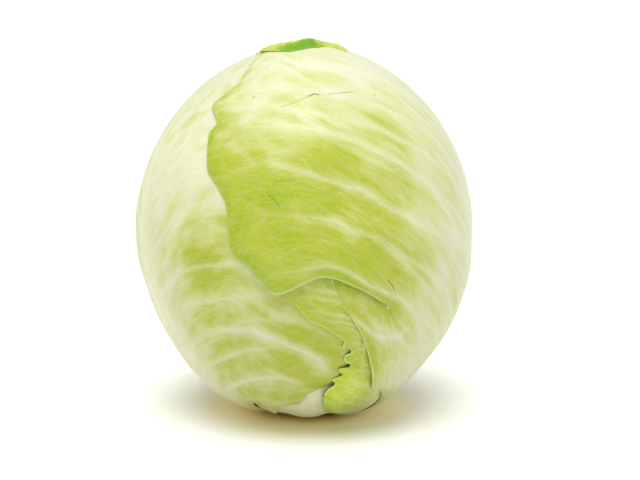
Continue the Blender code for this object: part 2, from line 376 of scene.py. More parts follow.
def above_floor(points):
    """Presses what would reach below the surface flat against it."""
    z = points[:, 2] - FLOOR_CLEARANCE
    points[:, 2] = FLOOR_CLEARANCE + FLOOR_SOFTNESS * np.logaddexp(0, z / FLOOR_SOFTNESS)
    return points


class Vein:
    """A raised pale line in the blade, thinning from start to end or even; sizes in metres."""

    def __init__(self, path, height, width, tint, even=False):
        count = max(int(path.length / 0.0009), 4)
        share = np.linspace(0, 1, count)
        self.points = path.at(share)
        if even:
            ends = smooth_step(share / 0.2) * smooth_step((1 - share) / 0.15)
            self.height, self.width, self.tint = height * ends, width + 0 * share, tint * ends
            return
        fade = 1 - 0.75 * share
        self.height = height * fade * smooth_step((1.02 - share) / 0.25)
        self.width = width * (0.45 + 0.55 * (1 - share))
        self.tint = tint * (0.55 + 0.45 * (1 - share)) * smooth_step((1.02 - share) / 0.2)


def side_vein_path(leaf, side, start, random):
    """A side vein that leaves the rib at this share of the leaf's length."""
    out = np.linspace(0.015, 0.97, 14)
    wander = np.cumsum(random.normal(0, 0.0035, 14))
    along = start + leaf.climb(out) + wander
    keep = along < 0.985
    if keep.sum() < 3:
        return None
    return traced(leaf.places(side * out[keep], along[keep]))


def branch_paths(path, random):
    """Short side branches of a vein, walked over the head from points along it."""
    found = []
    count = max(int(path.length / 0.012), 1)
    for i in range(count):
        for side in (-1, 1):
            share = (i + random.uniform(0.1, 0.9)) / (count + 0.3)
            point = path.at(share)
            ahead = unit(path.at(min(share + 0.02, 1)) - path.at(max(share - 0.02, 0)))
            turn = side * math.radians(random.uniform(28, 52))
            heading = ahead * math.cos(turn) + np.cross(point, ahead) * math.sin(turn)
            walk = [point]
            for _ in range(int(random.uniform(9, 20))):
                step = unit(walk[-1] + heading * 0.0012 / HALF_WIDTH)
                sideways = np.cross(step, heading)
                bend = -side * 0.045 + random.normal(0, 0.07)
                heading = unit(heading * math.cos(bend) + sideways * math.sin(bend))
                walk.append(step)
            found.append(traced(walk))
    return found


def leaf_veins(leaf, sizes):
    """Every vein of the leaf but its rib."""
    random = np.random.default_rng(leaf.seed)
    main = list(leaf.drawn_veins)
    for side, start in leaf.side_veins:
        path = side_vein_path(leaf, side, start + random.normal(0, 0.014), random)
        if path is not None:
            main.append(path)
    veins = []
    for path in main:
        share = random.uniform(0.55, 1.0)
        veins.append(
            Vein(path, share * sizes.vein_height, (0.5 + 0.6 * share) * sizes.vein_width,
                 (0.35 + 0.65 * share) * leaf.vein_tint)
        )
    veins += [Vein(*ridge, even=True) for ridge in leaf.ridges]
    for path in main:
        for twig in branch_paths(path, random):
            veins.append(Vein(twig, 0.22 * sizes.vein_height, 0.36 * sizes.vein_width, 0.3))
    return veins, len(main) + len(leaf.ridges)


def vein_fields(places, veins, main):
    """Height, tint and nearness of the veins at each place."""
    relief, tint, halo = (np.zeros(len(places)) for _ in range(3))
    for i, vein in enumerate(veins):
        reach = 0.016 if i < main else 0.005
        rough = vein.points[:: max(len(vein.points) // 12, 1)]
        spacing = np.linalg.norm(np.diff(rough, axis=0), axis=1).max()
        limit = 1 - 0.5 * (reach / HALF_WIDTH + spacing) ** 2
        near = np.flatnonzero((places @ rough.T).max(axis=1) > limit)
        if not len(near):
            continue
        gaps = np.sqrt(np.maximum(2 - 2 * places[near] @ vein.points.T, 0)) * HALF_WIDTH
        profile = np.exp(-((gaps / vein.width) ** 2))
        relief[near] = np.maximum(relief[near], (vein.height * profile).max(axis=1))
        soft = np.exp(-((gaps / (1.25 * vein.width)) ** 2))
        tint[near] = np.maximum(tint[near], (vein.tint * soft).max(axis=1))
        wide = 0.0036 if i < main else 0.0018
        haze = (vein.tint * np.exp(-((gaps / wide) ** 2))).max(axis=1)
        halo[near] = np.maximum(halo[near], haze)
    return relief, tint, halo


def flat_slab(leaf, sizes):
    """The leaf spread flat: x across, y along, z 0 on the underside and 1 on the outside."""
    columns, rows = leaf.cells
    bm = bmesh.new()
    bmesh.ops.create_grid(bm, x_segments=columns, y_segments=rows, size=1)
    margin = bm.verts.layers.float.new("margin")
    if leaf.torn_margin is not None:
        tear_flat_slab(bm, leaf)
    for vert in bm.verts:
        vert[margin] = 1.0 if vert.is_boundary else 0.0
    raised = bmesh.ops.extrude_face_region(bm, geom=bm.faces[:], use_keep_orig=True)
    new_verts = [item for item in raised["geom"] if isinstance(item, bmesh.types.BMVert)]
    bmesh.ops.translate(bm, verts=new_verts, vec=(0, 0, 1))
    bmesh.ops.recalc_face_normals(bm, faces=bm.faces[:])
    return bm


def grid_share(leaf, across):
    """Where on the flat grid a share across the leaf lies: the front half gets more columns."""
    middle = 2 * leaf.front_share - 1
    if across <= 0:
        return -1 + (across + 1) * (middle + 1)
    return middle + across * (1 - middle)


def across_of(leaf, x):
    middle = 2 * leaf.front_share - 1
    return np.where(x <= middle, (x + 1) / (middle + 1) - 1, (x - middle) / (1 - middle))


def tear_flat_slab(bm, leaf):
    """Opens the tear along a row, from the margin at -1 to the tear's end."""
    row = 2 * TEAR_ALONG - 1
    end = grid_share(leaf, TEAR_END)
    torn = [
        edge
        for edge in bm.edges
        if all(abs(v.co.y - row) < 1e-4 and v.co.x < end + 1e-4 for v in edge.verts)
    ]
    bmesh.ops.split_edges(bm, edges=torn)
    for vert in bm.verts:
        on_row = abs(vert.co.y - row) < 1e-4 and vert.co.x < end - 1e-4
        if on_row and np.mean([f.calc_center_median().y for f in vert.link_faces]) < row:
            vert.co.y -= LIP_STEP


def margin_lift(leaf, places, margin_gap, across, along):
    """How far the leaf's margins stand off what they lie on."""
    near = np.exp(-((margin_gap / 0.0065) ** 2))
    lift = np.zeros(len(places))
    for azimuth, latitude, height, spread in leaf.lifts:
        lift += height * spot(places, azimuth, latitude, spread) * near
    for azimuth, latitude, height, spread, length in leaf.crinkles:
        waves = 0.5 + 0.5 * ripple(places[:, 0] * HALF_WIDTH / length,
                                   places[:, 2] * HALF_WIDTH / length, leaf.seed)
        lift += height * waves * spot(places, azimuth, latitude, spread)
    for azimuth, latitude, height, spread in leaf.rolls:
        rolled = np.exp(-((margin_gap / 0.015) ** 2)) * smooth_step(margin_gap / 0.0045)
        lift += height * spot(places, azimuth, latitude, spread) * rolled
    if leaf.torn_margin is not None:
        over = (along >= TEAR_ALONG) * smooth_step((TEAR_END - across) / 0.07)
        lift += 0.0023 * over * np.exp(-(((along - TEAR_ALONG) / 0.07) ** 2))
    return lift


def greenness(leaf, places, across, along, margin_gap, halo):
    """How green the blade is, from 0, cream, to 1, full green."""
    latitude = np.degrees(np.arcsin(np.clip(places[:, 2], -1, 1)))
    outward = smooth_step(np.abs(across) / 0.55)
    start, span, loss = leaf.crown_fade
    green = leaf.green * (0.25 + 0.75 * outward)
    green = green * (0.55 + 0.45 * smooth_step((latitude + 75) / 40))
    green = green * (1 - loss * smooth_step((latitude - start) / span))
    for azimuth, height, amount, spread in leaf.green_spots:
        green += amount * spot(places, azimuth, height, spread)
    green = green * (1 - 0.55 * halo)
    green += leaf.margin_green * np.exp(-((margin_gap / 0.005) ** 2))
    for azimuth, height, amount, spread in leaf.edge_spots:
        edge = np.exp(-((margin_gap / 0.0022) ** 2))
        green += amount * edge * spot(places, azimuth, height, spread)
    return np.clip(green, 0, 1.3)


def white_base(leaf, places):
    """How white the thick base of the leaf is, near the stalk and along the rib."""
    latitude = np.degrees(np.arcsin(np.clip(places[:, 2], -1, 1)))
    share = np.linspace(0, 1, 90)
    line = leaf.rib().at(share)
    gaps = np.sqrt(np.maximum(2 - 2 * places @ line.T, 0)) * HALF_WIDTH
    reach = 0.003 + 0.020 * (1 - share) ** 2.2
    near_rib = (np.exp(-((gaps / reach) ** 2)) * (1 - share) ** 0.7).max(axis=1)
    low = smooth_step((-52 - latitude) / 22)
    return np.clip(leaf.white_base * np.maximum(low * 0.9, near_rib * 0.85), 0, 1)


def dress_leaf(leaf, beneath, sizes):
    """Bends the flat slab of a leaf around the head, with its veins, margins and colours."""
    bm = flat_slab(leaf, sizes)
    mesh = bpy.data.meshes.new(leaf.name + "_blade")
    bm.to_mesh(mesh)
    bm.free()
    count = len(mesh.vertices)
    slab = np.zeros(count * 3, np.float32)
    mesh.vertices.foreach_get("co", slab)
    slab = slab.reshape(-1, 3).astype(float)
    on_margin = np.zeros(count, np.float32)
    mesh.attributes["margin"].data.foreach_get("value", on_margin)

    across, along = across_of(leaf, slab[:, 0]), (slab[:, 1] + 1) / 2
    outside = slab[:, 2] > 0.5
    inset = leaf.ragged * (0.5 + 0.5 * ripple(along * 17, np.sign(across) * 3, leaf.seed + 5))
    inset = inset * smooth_step((np.abs(across) - 0.93) / 0.07)
    places = leaf.places(across * (1 - inset), along)
    margin_gap = np.zeros(count)
    for part in (along < TEAR_ALONG, along >= TEAR_ALONG) if leaf.torn_margin else (along >= 0,):
        margin_gap[part] = nearest(places[part], places[part & (on_margin > 0.5)])

    under = underside_radius(places, beneath, sizes, margin_gap)
    under += margin_lift(leaf, places, margin_gap, across, along)
    veins, main = leaf_veins(leaf, sizes)
    relief, tint, halo = vein_fields(places, veins, main)
    rib = rib_height(leaf, places, sizes)
    # The rim is partly a thicker bead at the margin and partly painted highlight: a paler colour for
    # the lit, rolled edge.
    rim = np.full(count, 0.25)
    for azimuth, latitude, amount, spread in leaf.rim_spots:
        rim += amount * spot(places, azimuth, latitude, spread)
    rim = np.clip(rim, 0, 1)
    taper = 0.35 + 0.65 * smooth_step(margin_gap / 0.004)
    taper += 0.45 * rim * np.exp(-((margin_gap / 0.0012) ** 2))
    for azimuth, latitude, spread in leaf.thin_spots:
        taper *= 1 - 0.6 * spot(places, azimuth, latitude, spread)
    if leaf.torn_margin is not None:
        tucked = (along < TEAR_ALONG) * smooth_step(1 - (TEAR_ALONG - along) / 0.05)
        taper *= 1 - 0.6 * tucked * smooth_step((TEAR_END - across) / 0.03)
    quilt = sizes.quilting * (1 - halo) * smooth_step(margin_gap / 0.008)
    quilt *= np.exp(-((rib / 0.0004) ** 2))
    thick = sizes.blade * taper + np.maximum(rib, relief * taper) + quilt * taper
    points = CENTRE + places * (under + thick * outside)[:, None]
    mesh.vertices.foreach_set("co", above_floor(points).astype(np.float32).ravel())

    rib_tint = np.clip(rib / sizes.rib_height * 2.2 - 0.25, 0, 1)
    store(mesh, "vein", np.maximum(tint, rib_tint))
    store(mesh, "green", greenness(leaf, places, across, along, margin_gap, halo))
    store(mesh, "white", white_base(leaf, places))
    # Painted light: the colour is scaled up in spots to brighten them as light would, most on the
    # lower front leaf's lobe low on the head.
    bright = np.ones(count)
    for azimuth, latitude, amount, spread in leaf.painted_light_spots:
        bright += amount * spot(places, azimuth, latitude, spread)
    store(mesh, "bright", bright)
    store(mesh, "rim", rim * np.exp(-((margin_gap / 0.0005) ** 2)))
    spread_on = np.stack([across * 1.3, (along - leaf.climb(across)) * 2.1], axis=1)
    lay_out(mesh, spread_on)
    mesh.attributes.remove(mesh.attributes["margin"])
    mesh.update()
    return mesh


def store(mesh, name, values):
    layer = mesh.attributes.new(name, "FLOAT", "POINT")
    layer.data.foreach_set("value", np.asarray(values, np.float32))


def lay_out(mesh, spread_on):
    """Gives the mesh a UV map: x across the leaf, y along it and level along its side veins."""
    corners = np.zeros(len(mesh.loops), np.int32)
    mesh.loops.foreach_get("vertex_index", corners)
    layer = mesh.uv_layers.new(name="leaf")
    layer.data.foreach_set("uv", spread_on[corners].astype(np.float32).ravel())


def wrapper_leaves():
    """The seven wrapper leaves, innermost first."""
    both = [(side, start) for start in np.arange(0.05, 0.95, 0.085) for side in (-1, 1)]
    left = [(-1, start) for start in np.arange(0.03, 0.95, 0.085)]
    right = [(1, start) for start in np.arange(0.03, 0.95, 0.085)]
    return [
        Leaf(
            "front_inner_leaf",
            (-1, 0, 1),
            [
                Path((-16, -80), (-38, -62), (-58, -40), (-68, -10), (-66, 20), (-55, 48), (-40, 64)),
                Path((2, -80), (2, -50), (0, -20), (-2, 15), (-5, 45), (-8, 70)),
                Path((20, -80), (42, -62), (60, -40), (70, -10), (66, 20), (52, 48), (30, 64)),
            ],
            cells=(100, 120),
            side_veins=both,
            green=0.3,
            seed=11,
        ),
        Leaf(
            "left_wrapper_leaf",
            (-1, 0, 0.5, 1),
            [
                Path((-78, -80), (-100, -62), (-125, -45), (-145, -25), (-155, -5), (-158, 15),
                     (-156, 35), (-150, 55), (-140, 70)),
                Path((-62, -80), (-58, -55), (-60, -35), (-63, -16), (-65, 4), (-68, 23),
                     (-73, 41), (-82, 60), (-100, 78)),
                Path((-50, -80), (-40, -64), (-32, -50), (-25, -34), (-23, -16), (-24, 4),
                     (-28, 24), (-36, 44), (-50, 62), (-70, 79)),
                Path((-44, -80), (-39, -70), (-34, -61), (-28, -56.8), (-24.5, -57.5),
                     (-22.3, -60), (-20.6, -63), (-18.8, -63), (-17, -60), (-14, -57.2),
                     (-9.6, -55.8), (-5.9, -53.6), (-2.1, -51.7), (-0.3, -48.7), (1.4, -46.7),
                     (5, -45.3), (9, -44.6), (13.5, -43), (18, -38.5), (20, -32), (20, -20),
                     (19, -8), (17, 8), (10, 26), (-2, 44), (-18, 60), (-35, 76)),
            ],
            cells=(210, 190),
            front_share=0.3,
            rise=0.14,
            reach=0.5,
            side_veins=left,
            drawn_veins=[
                Path((-63, -8), (-51, 4), (-44, 12), (-36, 16), (-28, 18), (-15, 19)),
                Path((-63, -22), (-50, -12), (-39, -5), (-25, -2), (-20, -1), (-8, 0)),
                Path((-60, -32), (-47, -20), (-37, -16), (-24, -13), (-14, -11), (-7, -10)),
                Path((-60, -44), (-50, -35), (-41, -30), (-28, -24), (-18, -20), (-5, -19),
                     (6, -19)),
                Path((-58, -52), (-45, -41), (-24, -32), (-12, -29), (-4, -28), (4, -30)),
                Path((-50, -60), (-38, -50), (-24, -43), (-10, -40), (2, -42)),
                Path((-65, 6), (-54, 15), (-53, 27), (-51, 41), (-54, 54)),
                Path((-66, 14), (-60, 28), (-60, 42), (-64, 56)),
                Path((-67, -6), (-56, 4), (-48, 18), (-44, 32), (-42, 46)),
            ],
            ridges=[
                (Path((-33, -26), (-25, -24), (-18, -23.5), (-12, -25), (-6, -27), (-1, -29),
                      (3.5, -31.5), (7, -35), (10, -39)), 0.0010, 0.0009, 0.85),
            ],
            painted_light_spots=[(-46, 30, 0.07, 0.030), (-30, -8, 0.02, 0.02)],
            lifts=[(-20, -62, 0.0012, 0.006), (0, -48, 0.0006, 0.01)],
            green=0.55,
            crown_fade=(-5, 40, 0.75),
            green_spots=[(-33, -5, 0.50, 0.011), (5, -32, 0.15, 0.016), (-12, -44, 0.2, 0.022)],
            margin_green=0.2,
            tone=0.97,
            seed=21,
        ),
        Leaf(
            "lower_front_leaf",
            (-1, 0, 1),
            [
                Path((38, -79), (33, -73), (25, -68), (17.5, -64.3), (13, -61), (10.2, -57),
                     (8.9, -53), (8.2, -48.4), (8.9, -44.6), (11.6, -42.8), (11.8, -41.4),
                     (10.4, -40.2), (12.9, -39.1), (14, -38), (12.3, -36.6), (12.9, -35.4),
                     (15.9, -35.2), (16, -33.8), (13.8, -32.7), (13.9, -30.8), (15.9, -29.8),
                     (15, -28.4), (12.7, -28), (13.3, -26), (11.8, -24.7),
                     (9.7, -23), (6.8, -21), (3.2, -19.3), (0.5, -17.2), (-2.8, -13.5),
                     (-6.4, -9.4), (-7.5, -5), (-4, 0), (4, 3)),
                Path((48, -80), (47, -60), (43, -42), (36, -25), (27, -10), (20, 3)),
                Path((58, -80), (66, -63), (72, -46), (72, -30), (66, -14), (54, -2), (38, 3)),
            ],
            cells=(150, 170),
            front_share=0.7,
            rise=0.12,
            reach=0.9,
            side_veins=both + [(-1, start) for start in np.arange(0.1, 0.8, 0.085)],
            crinkles=[(14.5, -34, 0.0013, 0.0055, 0.0050), (18, -34, 0.0012, 0.006, 0.005),
                      (17, -27, 0.0009, 0.007, 0.0035)],
            # The raised tone is partly painted light for a leaf low on the head in shade.
            tone=1.08,
            painted_light_spots=[(15, -47, 0.28, 0.013), (13, -36, 0.14, 0.008)],
            lifts=[(10, -52, 0.0001, 0.01), (0, -17, 0.0006, 0.010), (9, -23, 0.0007, 0.008),
                   (31, -48, -0.0014, 0.004)],
            rim_spots=[(-3, -13, 0.4, 0.010), (6, -21, 0.5, 0.009), (13, -29, 0.5, 0.006),
                       (10, -44, 0.4, 0.005)],
            green=0.85,
            # The last spot is painted shade: a small dark-green patch in the recess beside the torn
            # edge of the right wrapper.
            green_spots=[(16, -56, 0.25, 0.014), (28, -60, 0.35, 0.012), (16, -34, 0.3, 0.009),
                         (30.5, -48, 0.8, 0.0035)],
            margin_green=0.1,
            white_base=0.45,
            vein_tint=0.55,
            ragged=0.012,
            seed=31,
        ),
        Leaf(
            "right_wrapper_leaf",
            (-1, -0.5, 0, 0.5, 1),
            [
                Path((-10, -9.1), (-12.8, -6.2), (-15.3, -3.2), (-17.3, -1.7), (-19.2, -0.9),
                     (-21.6, 0.8), (-22.6, 2.6), (-23.7, 5.7), (-24.3, 10.3), (-25.3, 14.3),
                     (-26.4, 17.3), (-27.8, 19), (-30.3, 21.7), (-32.3, 23.4), (-35, 26.1),
                     (-36.6, 29.9), (-38.4, 34.7), (-39.6, 38), (-38.5, 39.5), (-37.6, 41.3),
                     (-39.6, 43.4), (-43.8, 45.7), (-46.5, 47.6), (-46.8, 49.6), (-44.9, 51.6),
                     (-43.9, 54.2), (-42, 58.3), (-47, 65), (-57, 71), (-75, 76), (-105, 79)),
                Path((62, -79), (48, -60), (40, -42), (33, -28), (28, -15.5), (22, 4), (18, 22),
                     (12, 42), (2, 62), (-20, 76), (-160, 84)),
                Path((84, -80), (82, -58), (79, -40), (77, -22), (76, -4), (77, 15), (82, 35),
                     (92, 56), (112, 74), (150, 80)),
                Path((94, -80), (102, -60), (110, -40), (114, -20), (116, 0), (118, 20),
                     (120, 40), (124, 58), (132, 74)),
                Path((104, -80), (122, -62), (140, -42), (152, -20), (158, 2), (160, 24),
                     (158, 44), (150, 60), (144, 70)),
            ],
            torn_margin=Path((60, -79), (51, -66), (44, -56), (37, -50), (32, -47.5),
                             (28.9, -45), (26.9, -41.1), (25.1, -37.2), (23.2, -33.4),
                             (21.4, -29.2), (19.8, -25.8), (18.2, -22.9), (16.3, -20), (14, -16.9),
                             (11.6, -14.2), (9.6, -11), (8.4, -7.4), (7.8, -3.8)),
            lip=Path((-10, -9.1), (-8.8, -9.6), (-6.7, -9.2), (-3.4, -7.9), (0.5, -6), (3.4, -4.7),
                     (6.4, -4.4), (10, -5.2), (13.9, -7), (17.8, -8.9), (21.3, -11.1),
                     (25.2, -13.6), (28, -15.45)),
            tuck=Path((7.8, -3.4), (10.5, -3.6), (14, -4.7), (18, -6.6), (22, -9), (25.4, -12),
                      (28, -15.45)),
            cells=(240, 180),
            front_share=0.7,
            rise=0.32,
            reach=0.75,
            side_veins=right,
            drawn_veins=[
                Path((79, -64), (60, -46), (47, -35), (33, -27), (24, -21), (17, -16)),
                Path((77, -50), (64, -38), (52, -28), (40, -20), (31, -13), (21, -8), (11, -2),
                     (5, -1), (-1, -2), (-14, -4)),
                Path((76, -36), (64, -24), (51, -12), (42, -6), (32, 0), (24, 6), (15, 9),
                     (10, 12), (5, 13), (-4, 14), (-17, 13)),
                Path((76, -22), (68, -14), (59, -6), (49, 3), (36, 11), (27, 16), (19, 21),
                     (12, 23), (-1, 27), (-16, 30), (-25, 29)),
                Path((76, -8), (65, 5), (50, 18), (36, 28), (25, 34), (14, 38), (-10, 42),
                     (-36, 44)),
                Path((76, 2), (66, 15), (54, 27), (38, 37), (22, 43), (2, 46), (-20, 48)),
                Path((76, 12), (68, 23), (55, 37), (41, 46), (23, 52), (13, 54), (-10, 56)),
                Path((80, 30), (72, 44), (56, 57), (30, 66), (-5, 68)),
                Path((88, 48), (80, 60), (60, 72), (10, 80)),
                Path((34, -26), (24, -24), (14, -16)),
            ],
            lifts=[(-9, -9, 0.0006, 0.010), (-24, 8, 0.0005, 0.012), (-39, 42, 0.0008, 0.008),
                   (-36, 30, 0.0005, 0.010), (18, -22, 0.0009, 0.009), (23, -34, 0.0013, 0.010),
                   (28, -43, 0.0013, 0.008)],
            thin_spots=[(8, -9, 0.006), (-44, 57, 0.012), (-54, 69, 0.012)],
            # Cracks drawn as dark lines in colour alone: painted shade inside each narrow split. Each
            # lists points on the head, a width and a strength.
            crack_shade_marks=[
                ([(-9.9, 47.8), (-3.8, 49.7), (3.3, 52.5)], 0.00035, 0.5),
                ([(2.4, 52.1), (4.9, 53.2), (7, 52.9)], 0.0006, 0.9),
                ([(12, 53.5), (19, 54.3), (26, 54.7)], 0.0004, 0.6),
                ([(-11, 19.7), (-9, 18.4), (-7.6, 16.4)], 0.0004, 0.7),
                ([(26, -6.6), (27.5, -8.2), (28.4, -9.6)], 0.0005, 0.8),
                ([(28.2, -3.6), (29.8, -5)], 0.0004, 0.5),
                ([(-24.4, 51.3), (-24.2, 51.1)], 0.0005, 0.9),
            ],
            green=0.88,
            crown_fade=(22, 48, 0.85),
            green_spots=[(-10, 4, 0.12, 0.020), (-9, -8, 0.3, 0.006), (38, -45, -0.6, 0.022),
                         (50, -30, -0.3, 0.030), (-12, 44, -0.12, 0.012),
                         (13, -14, -0.3, 0.010), (44, 14, -0.16, 0.022), (50, -2, -0.18, 0.022)],
            edge_spots=[(-39, 37, 0.9, 0.004), (-24, 6, 0.7, 0.005), (-19.5, -1.5, 0.8, 0.006),
                        (-25.5, 14, 0.5, 0.004), (-36, 29, 0.4, 0.008), (-9, -9, 0.5, 0.005)],
            rim_spots=[(-6, -8, 0.6, 0.008), (5, -2, 0.6, 0.012), (16, -7, 0.5, 0.012),
                       (17, -20, 0.7, 0.007), (22, -30, 0.8, 0.010), (27, -41, 0.8, 0.008)],
            margin_green=0.22,
            seed=41,
        ),
        Leaf(
            "crown_leaf",
            (-1, -0.5, 0, 0.5, 1),
            [
                Path((170, -80), (151, -60), (139, -35), (135, -10), (135, 15), (137, 38),
                     (136, 55), (126, 69), (98, 76), (70, 75.6)),
                Path((180, -80), (170, -58), (163, -30), (160, -5), (160, 20), (160, 42),
                     (158, 62), (142, 78), (66, 83)),
                Path((190, -80), (189, -45), (188, -15), (187, 15), (186, 40), (184, 62),
                     (182, 80), (4, 80.5)),
                Path((200, -80), (208, -58), (214, -30), (217, -5), (217, 20), (217, 42),
                     (220, 62), (233, 77), (340, 76.4)),
                Path((210, -80), (229, -60), (241, -35), (246, -10), (246, 15), (245, 38),
                     (243, 55), (239, 68), (262, 77), (298, 75)),
            ],
            cells=(150, 190),
            side_veins=both,
            tip=Path((64, 75.6), (75, 80), (80, 83.4), (36, 82.6), (12, 80.2), (-1, 77.2),
                     (-9, 75.2), (-17, 73.9), (-28, 74.3), (-42, 74.8), (-56, 75.2), (-67, 74.6)),
            rolls=[(40, 83, 0.0028, 0.0105), (10, 80, 0.0006, 0.008), (-80, 79, -0.0005, 0.012)],
            thin_spots=[(64, 76, 0.007), (-66, 75, 0.008), (-80, 79, 0.014)],
            green=0.5,
            # The small spots along the front margin are painted shade: they push the colour into the
            # fold colour under the rolled margin.
            green_spots=[(10, 86, 0.16, 0.016), (-30, 74.5, 0.25, 0.0045), (-14, 75.6, 0.6, 0.0050),
                         (-2, 79, 0.65, 0.0048), (12, 82, 0.5, 0.004), (30, 84, 0.35, 0.003),
                         (60, 80, 0.2, 0.006)],
            margin_green=0.05,
            vein_tint=0.12,
            seed=51,
        ),
        Leaf(
            "back_left_leaf",
            (-1, 0, 1),
            [
                Path((-146, -80), (-160, -62), (-172, -42), (-178, -20), (-178, 2), (-172, 22),
                     (-160, 40)),
                Path((-128, -80), (-130, -50), (-134, -25), (-138, 0), (-141, 24), (-142, 46)),
                Path((-110, -80), (-106, -62), (-105, -42), (-105, -22), (-108, -2), (-114, 18),
                     (-124, 38)),
            ],
            cells=(110, 160),
            side_veins=both,
            lifts=[(-142, 44, 0.0012, 0.012), (-178, 5, 0.0008, 0.014)],
            green=0.7,
            ragged=0.02,
            seed=61,
        ),
        Leaf(
            "back_right_leaf",
            (-1, 0, 1),
            [
                Path((120, -80), (113, -62), (111, -42), (111, -22), (113, -2), (118, 14),
                     (127, 25)),
                Path((138, -80), (140, -52), (141, -28), (141, -5), (142, 15), (143, 31)),
                Path((156, -80), (170, -62), (182, -42), (188, -22), (186, -4), (176, 12),
                     (160, 25)),
            ],
            cells=(110, 150),
            side_veins=both,
            lifts=[(143, 28, 0.0012, 0.012)],
            green=0.66,
            ragged=0.02,
            seed=71,
        ),
    ]


LEAVES = wrapper_leaves()


def add_node(tree, kind, inputs=(), **settings):
    """A shader node with its settings, and its inputs set or linked in one go."""
    made = tree.nodes.new(kind)
    for key, value in settings.items():
        setattr(made, key, value)
    for key, value in dict(inputs).items():
        if isinstance(value, bpy.types.NodeSocket):
            tree.links.new(value, made.inputs[key])
        else:
            made.inputs[key].default_value = value
    return made


def blend_colours(tree, share, first, second):
    made = add_node(tree, "ShaderNodeMix", data_type="RGBA", clamp_factor=True)
    for socket, value in ((made.inputs[0], share), (made.inputs[6], first), (made.inputs[7], second)):
        if isinstance(value, bpy.types.NodeSocket):
            tree.links.new(value, socket)
        else:
            socket.default_value = value
    return made.outputs[2]


def work_out(tree, operation, first, second, clamp=False):
    made = add_node(tree, "ShaderNodeMath", {0: first, 1: second}, operation=operation)
    made.use_clamp = clamp
    return made.outputs[0]


def remap(tree, value, low, high, to_low=0.0, to_high=1.0):
    made = add_node(
        tree,
        "ShaderNodeMapRange",
        {"Value": value, "From Min": low, "From Max": high, "To Min": to_low, "To Max": to_high},
        interpolation_type="SMOOTHSTEP",
    )
    return made.outputs["Result"]


def rgba(colour):
    return (*colour, 1.0)


def mark_on(tree, at, ends, width):
    """1 along a short mark between two directions from the centre, 0 beyond its width."""
    start, end = ends
    way = end - start
    from_start = add_node(tree, "ShaderNodeVectorMath", {0: at, 1: start}, operation="SUBTRACT")
    reach = add_node(
        tree, "ShaderNodeVectorMath", {0: from_start.outputs[0], 1: way / (way @ way)},
        operation="DOT_PRODUCT",
    )
    share = work_out(tree, "ADD", reach.outputs["Value"], 0.0, clamp=True)
    foot = add_node(
        tree, "ShaderNodeVectorMath", {0: way, "Scale": share}, operation="SCALE"
    )
    off = add_node(
        tree, "ShaderNodeVectorMath", {0: from_start.outputs[0], 1: foot.outputs[0]},
        operation="DISTANCE",
    )
    return remap(
        tree, off.outputs["Value"], 0.3 * width / HALF_WIDTH, width / HALF_WIDTH, 1.0, 0.0
    )


# The marks are painted shade of the cracks.
def all_marks(tree, at, crack_shade_marks):
    """The strength of every mark, from a list of points on the head, a width and a strength."""
    from_centre = add_node(tree, "ShaderNodeVectorMath", {0: at, 1: CENTRE}, operation="SUBTRACT")
    at = add_node(
        tree, "ShaderNodeVectorMath", {0: from_centre.outputs[0]}, operation="NORMALIZE"
    ).outputs[0]
    total = 0.0
    for spots, width, strength in crack_shade_marks:
        points = [direction(*spot) for spot in spots]
        for ends in zip(points, points[1:]):
            mark = work_out(tree, "MULTIPLY", mark_on(tree, at, ends, width), strength)
            total = work_out(tree, "MAXIMUM", mark, total)
    return total


